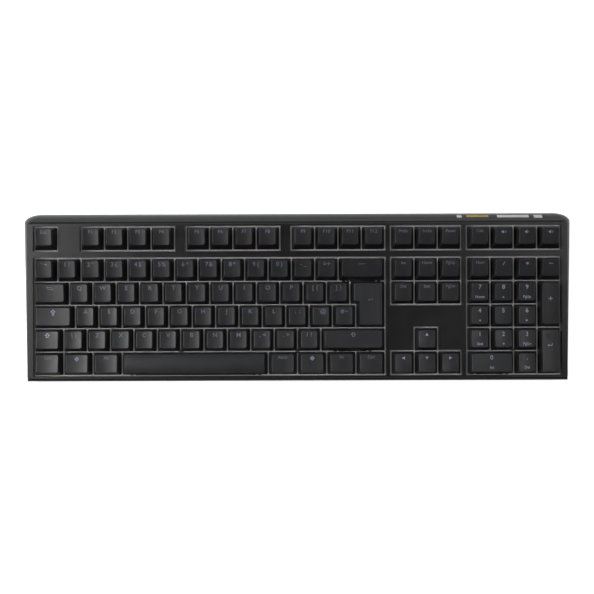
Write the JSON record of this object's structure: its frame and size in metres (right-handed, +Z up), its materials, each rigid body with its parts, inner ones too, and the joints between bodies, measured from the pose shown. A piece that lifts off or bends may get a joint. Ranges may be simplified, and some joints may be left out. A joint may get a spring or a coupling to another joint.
{
  "type": "mechanical keyboard",
  "caption": "Full-size backlit mechanical computer keyboard: sloped wedge case, separate key wells, sculpted keycaps on switches, stabilized wide keys, folding rear feet.",
  "frame": {"origin": "on the desk under the middle of the case", "axes": "+X to the right of the typist, +Y away from the typist, +Z up"},
  "size_m": [0.45, 0.1372, 0.0409],
  "materials": {
    "case_plastic": "fine satin grain",
    "shell_plastic": "smooth satin gloss",
    "keycap_plastic": "fine matte texture with clear legends",
    "plate_white": "white powder coat",
    "foam": "closed cell foam",
    "silicone": "silicone sheet",
    "board": "solder mask",
    "switch_body": "moulded nylon",
    "switch_cover": "translucent",
    "steel": "bright spring steel",
    "screw_steel": "zinc plated",
    "light": "clear lens",
    "rubber": "soft rubber"
  },
  "bodies": {
    "case": {"bottom_case": "case_plastic", "case_pad": "silicone", "circuit_board": "board", "key_bezel": "case_plastic", "key_lights": "light", "outer_shell": "shell_plastic", "plate_foam": "foam", "plate_screws": "screw_steel", "rubber_feet": "rubber", "stabilizer_housings": "switch_body", "switch_bases": "switch_body", "switch_covers": "switch_cover", "switch_plate": "plate_white", "switch_sockets": "switch_body", "switch_springs": "steel", "usb_socket": "steel"},
    "left_tall_foot_body": {"left_tall_foot": "case_plastic"},
    "left_short_foot_body": {"left_short_foot": "case_plastic"},
    "right_tall_foot_body": {"right_tall_foot": "case_plastic"},
    "right_short_foot_body": {"right_short_foot": "case_plastic"},
    "escape_key_body": {"escape_key": "keycap_plastic"},
    "function_keys_f1_to_f4_body": {"function_keys_f1_to_f4": "keycap_plastic"},
    "function_keys_f5_to_f8_body": {"function_keys_f5_to_f8": "keycap_plastic"},
    "function_keys_f9_to_f12_body": {"function_keys_f9_to_f12": "keycap_plastic"},
    "system_keys_body": {"system_keys": "keycap_plastic"},
    "media_keys_body": {"media_keys": "keycap_plastic"},
    "number_row_keys_body": {"number_row_keys": "keycap_plastic"},
    "backspace_key_body": {"backspace_key": "keycap_plastic"},
    "tab_key_body": {"tab_key": "keycap_plastic"},
    "top_letter_keys_body": {"top_letter_keys": "keycap_plastic"},
    "enter_key_body": {"enter_key": "keycap_plastic"},
    "caps_lock_key_body": {"caps_lock_key": "keycap_plastic"},
    "home_letter_keys_body": {"home_letter_keys": "keycap_plastic"},
    "left_shift_key_body": {"left_shift_key": "keycap_plastic"},
    "bottom_letter_keys_body": {"bottom_letter_keys": "keycap_plastic"},
    "right_shift_key_body": {"right_shift_key": "keycap_plastic"},
    "left_control_key_body": {"left_control_key": "keycap_plastic"},
    "left_super_key_body": {"left_super_key": "keycap_plastic"},
    "left_alt_key_body": {"left_alt_key": "keycap_plastic"},
    "space_bar_body": {"space_bar": "keycap_plastic"},
    "right_alt_key_body": {"right_alt_key": "keycap_plastic"},
    "right_super_key_body": {"right_super_key": "keycap_plastic"},
    "function_layer_key_body": {"function_layer_key": "keycap_plastic"},
    "right_control_key_body": {"right_control_key": "keycap_plastic"},
    "navigation_keys_body": {"navigation_keys": "keycap_plastic"},
    "arrow_up_key_body": {"arrow_up_key": "keycap_plastic"},
    "arrow_left_key_body": {"arrow_left_key": "keycap_plastic"},
    "arrow_down_key_body": {"arrow_down_key": "keycap_plastic"},
    "arrow_right_key_body": {"arrow_right_key": "keycap_plastic"},
    "number_pad_keys_body": {"number_pad_keys": "keycap_plastic"},
    "number_pad_plus_key_body": {"number_pad_plus_key": "keycap_plastic"},
    "number_pad_enter_key_body": {"number_pad_enter_key": "keycap_plastic"},
    "number_pad_zero_key_body": {"number_pad_zero_key": "keycap_plastic"},
    "backspace_stabilizer_wire_body": {"backspace_stabilizer_wire": "steel"},
    "enter_stabilizer_wire_body": {"enter_stabilizer_wire": "steel"},
    "number_pad_enter_stabilizer_wire_body": {"number_pad_enter_stabilizer_wire": "steel"},
    "number_pad_plus_stabilizer_wire_body": {"number_pad_plus_stabilizer_wire": "steel"},
    "number_pad_zero_stabilizer_wire_body": {"number_pad_zero_stabilizer_wire": "steel"},
    "right_shift_stabilizer_wire_body": {"right_shift_stabilizer_wire": "steel"},
    "space_bar_stabilizer_wire_body": {"space_bar_stabilizer_wire": "steel"}
  },
  "joints": [
    {"name": "left_tall_foot_hinge", "type": "hinge", "parent": "case", "child": "left_tall_foot_body", "pos_m": [-0.168, 0.0529, 0.0038], "axis": [1, 0, 0], "range_deg": [0, 100]},
    {"name": "left_short_foot_hinge", "type": "hinge", "parent": "case", "child": "left_short_foot_body", "pos_m": [-0.168, 0.0529, 0.0038], "axis": [1, 0, 0], "range_deg": [0, 100]},
    {"name": "right_tall_foot_hinge", "type": "hinge", "parent": "case", "child": "right_tall_foot_body", "pos_m": [0.168, 0.0529, 0.0038], "axis": [1, 0, 0], "range_deg": [0, 100]},
    {"name": "right_short_foot_hinge", "type": "hinge", "parent": "case", "child": "right_short_foot_body", "pos_m": [0.168, 0.0529, 0.0038], "axis": [1, 0, 0], "range_deg": [0, 100]},
    {"name": "space_bar_press", "type": "slide", "parent": "case", "child": "space_bar_body", "axis": [0, 0.1045, -0.9945], "range_m": [0, 0.004], "deforming": ["switch_springs"]},
    {"name": "enter_key_press", "type": "slide", "parent": "case", "child": "enter_key_body", "axis": [0, 0.1045, -0.9945], "range_m": [0, 0.004]},
    {"name": "backspace_key_press", "type": "slide", "parent": "case", "child": "backspace_key_body", "axis": [0, 0.1045, -0.9945], "range_m": [0, 0.004]},
    {"name": "right_shift_key_press", "type": "slide", "parent": "case", "child": "right_shift_key_body", "axis": [0, 0.1045, -0.9945], "range_m": [0, 0.004]},
    {"name": "number_pad_plus_key_press", "type": "slide", "parent": "case", "child": "number_pad_plus_key_body", "axis": [0, 0.1045, -0.9945], "range_m": [0, 0.004]},
    {"name": "number_pad_enter_key_press", "type": "slide", "parent": "case", "child": "number_pad_enter_key_body", "axis": [0, 0.1045, -0.9945], "range_m": [0, 0.004]},
    {"name": "number_pad_zero_key_press", "type": "slide", "parent": "case", "child": "number_pad_zero_key_body", "axis": [0, 0.1045, -0.9945], "range_m": [0, 0.004]},
    {"name": "escape_key_press", "type": "slide", "parent": "case", "child": "escape_key_body", "axis": [0, 0.1045, -0.9945], "range_m": [0, 0.004]},
    {"name": "function_keys_f1_to_f4_press", "type": "slide", "parent": "case", "child": "function_keys_f1_to_f4_body", "axis": [0, 0.1045, -0.9945], "range_m": [0, 0.004]},
    {"name": "function_keys_f5_to_f8_press", "type": "slide", "parent": "case", "child": "function_keys_f5_to_f8_body", "axis": [0, 0.1045, -0.9945], "range_m": [0, 0.004]},
    {"name": "function_keys_f9_to_f12_press", "type": "slide", "parent": "case", "child": "function_keys_f9_to_f12_body", "axis": [0, 0.1045, -0.9945], "range_m": [0, 0.004]},
    {"name": "system_keys_press", "type": "slide", "parent": "case", "child": "system_keys_body", "axis": [0, 0.1045, -0.9945], "range_m": [0, 0.004]},
    {"name": "media_keys_press", "type": "slide", "parent": "case", "child": "media_keys_body", "axis": [0, 0.1045, -0.9945], "range_m": [0, 0.004]},
    {"name": "number_row_keys_press", "type": "slide", "parent": "case", "child": "number_row_keys_body", "axis": [0, 0.1045, -0.9945], "range_m": [0, 0.004]},
    {"name": "top_letter_keys_press", "type": "slide", "parent": "case", "child": "top_letter_keys_body", "axis": [0, 0.1045, -0.9945], "range_m": [0, 0.004]},
    {"name": "home_letter_keys_press", "type": "slide", "parent": "case", "child": "home_letter_keys_body", "axis": [0, 0.1045, -0.9945], "range_m": [0, 0.004]},
    {"name": "bottom_letter_keys_press", "type": "slide", "parent": "case", "child": "bottom_letter_keys_body", "axis": [0, 0.1045, -0.9945], "range_m": [0, 0.004]},
    {"name": "navigation_keys_press", "type": "slide", "parent": "case", "child": "navigation_keys_body", "axis": [0, 0.1045, -0.9945], "range_m": [0, 0.004]},
    {"name": "number_pad_keys_press", "type": "slide", "parent": "case", "child": "number_pad_keys_body", "axis": [0, 0.1045, -0.9945], "range_m": [0, 0.004]},
    {"name": "tab_key_press", "type": "slide", "parent": "case", "child": "tab_key_body", "axis": [0, 0.1045, -0.9945], "range_m": [0, 0.004]},
    {"name": "caps_lock_key_press", "type": "slide", "parent": "case", "child": "caps_lock_key_body", "axis": [0, 0.1045, -0.9945], "range_m": [0, 0.004]},
    {"name": "left_shift_key_press", "type": "slide", "parent": "case", "child": "left_shift_key_body", "axis": [0, 0.1045, -0.9945], "range_m": [0, 0.004]},
    {"name": "left_control_key_press", "type": "slide", "parent": "case", "child": "left_control_key_body", "axis": [0, 0.1045, -0.9945], "range_m": [0, 0.004]},
    {"name": "left_super_key_press", "type": "slide", "parent": "case", "child": "left_super_key_body", "axis": [0, 0.1045, -0.9945], "range_m": [0, 0.004]},
    {"name": "left_alt_key_press", "type": "slide", "parent": "case", "child": "left_alt_key_body", "axis": [0, 0.1045, -0.9945], "range_m": [0, 0.004]},
    {"name": "right_alt_key_press", "type": "slide", "parent": "case", "child": "right_alt_key_body", "axis": [0, 0.1045, -0.9945], "range_m": [0, 0.004]},
    {"name": "right_super_key_press", "type": "slide", "parent": "case", "child": "right_super_key_body", "axis": [0, 0.1045, -0.9945], "range_m": [0, 0.004]},
    {"name": "function_layer_key_press", "type": "slide", "parent": "case", "child": "function_layer_key_body", "axis": [0, 0.1045, -0.9945], "range_m": [0, 0.004]},
    {"name": "right_control_key_press", "type": "slide", "parent": "case", "child": "right_control_key_body", "axis": [0, 0.1045, -0.9945], "range_m": [0, 0.004]},
    {"name": "arrow_up_key_press", "type": "slide", "parent": "case", "child": "arrow_up_key_body", "axis": [0, 0.1045, -0.9945], "range_m": [0, 0.004]},
    {"name": "arrow_left_key_press", "type": "slide", "parent": "case", "child": "arrow_left_key_body", "axis": [0, 0.1045, -0.9945], "range_m": [0, 0.004]},
    {"name": "arrow_down_key_press", "type": "slide", "parent": "case", "child": "arrow_down_key_body", "axis": [0, 0.1045, -0.9945], "range_m": [0, 0.004]},
    {"name": "arrow_right_key_press", "type": "slide", "parent": "case", "child": "arrow_right_key_body", "axis": [0, 0.1045, -0.9945], "range_m": [0, 0.004]},
    {"name": "backspace_stabilizer_wire_turn", "type": "hinge", "parent": "case", "child": "backspace_stabilizer_wire_body", "pos_m": [0.05239, 0.01275, 0.02082], "axis": [-1, 0, 0], "range_deg": [0, 28]},
    {"name": "enter_stabilizer_wire_turn", "type": "hinge", "parent": "case", "child": "enter_stabilizer_wire_body", "pos_m": [0.06883, -0.00642, 0.01881], "axis": [0, -0.9945, -0.1045], "range_deg": [0, 28]},
    {"name": "right_shift_stabilizer_wire_turn", "type": "hinge", "parent": "case", "child": "right_shift_stabilizer_wire_body", "pos_m": [0.04524, -0.04409, 0.01485], "axis": [-1, 0, 0], "range_deg": [0, 28]},
    {"name": "space_bar_stabilizer_wire_turn", "type": "hinge", "parent": "case", "child": "space_bar_stabilizer_wire_body", "pos_m": [-0.08334, -0.06303, 0.01286], "axis": [-1, 0, 0], "range_deg": [0, 28]},
    {"name": "number_pad_plus_stabilizer_wire_turn", "type": "hinge", "parent": "case", "child": "number_pad_plus_stabilizer_wire_body", "pos_m": [0.21409, -0.00642, 0.01881], "axis": [0, -0.9945, -0.1045], "range_deg": [0, 28]},
    {"name": "number_pad_enter_stabilizer_wire_turn", "type": "hinge", "parent": "case", "child": "number_pad_enter_stabilizer_wire_body", "pos_m": [0.21409, -0.04431, 0.01482], "axis": [0, -0.9945, -0.1045], "range_deg": [0, 28]},
    {"name": "number_pad_zero_stabilizer_wire_turn", "type": "hinge", "parent": "case", "child": "number_pad_zero_stabilizer_wire_body", "pos_m": [0.15716, -0.06303, 0.01286], "axis": [-1, 0, 0], "range_deg": [0, 28]}
  ],
  "couplings": [
    {"joint": "backspace_stabilizer_wire_turn", "follows": "backspace_key_press", "rad_per_m": 122.09},
    {"joint": "enter_stabilizer_wire_turn", "follows": "enter_key_press", "rad_per_m": 122.09},
    {"joint": "right_shift_stabilizer_wire_turn", "follows": "right_shift_key_press", "rad_per_m": 122.09},
    {"joint": "space_bar_stabilizer_wire_turn", "follows": "space_bar_press", "rad_per_m": 122.09},
    {"joint": "number_pad_plus_stabilizer_wire_turn", "follows": "number_pad_plus_key_press", "rad_per_m": 122.09},
    {"joint": "number_pad_enter_stabilizer_wire_turn", "follows": "number_pad_enter_key_press", "rad_per_m": 122.09},
    {"joint": "number_pad_zero_stabilizer_wire_turn", "follows": "number_pad_zero_key_press", "rad_per_m": 122.09}
  ]
}
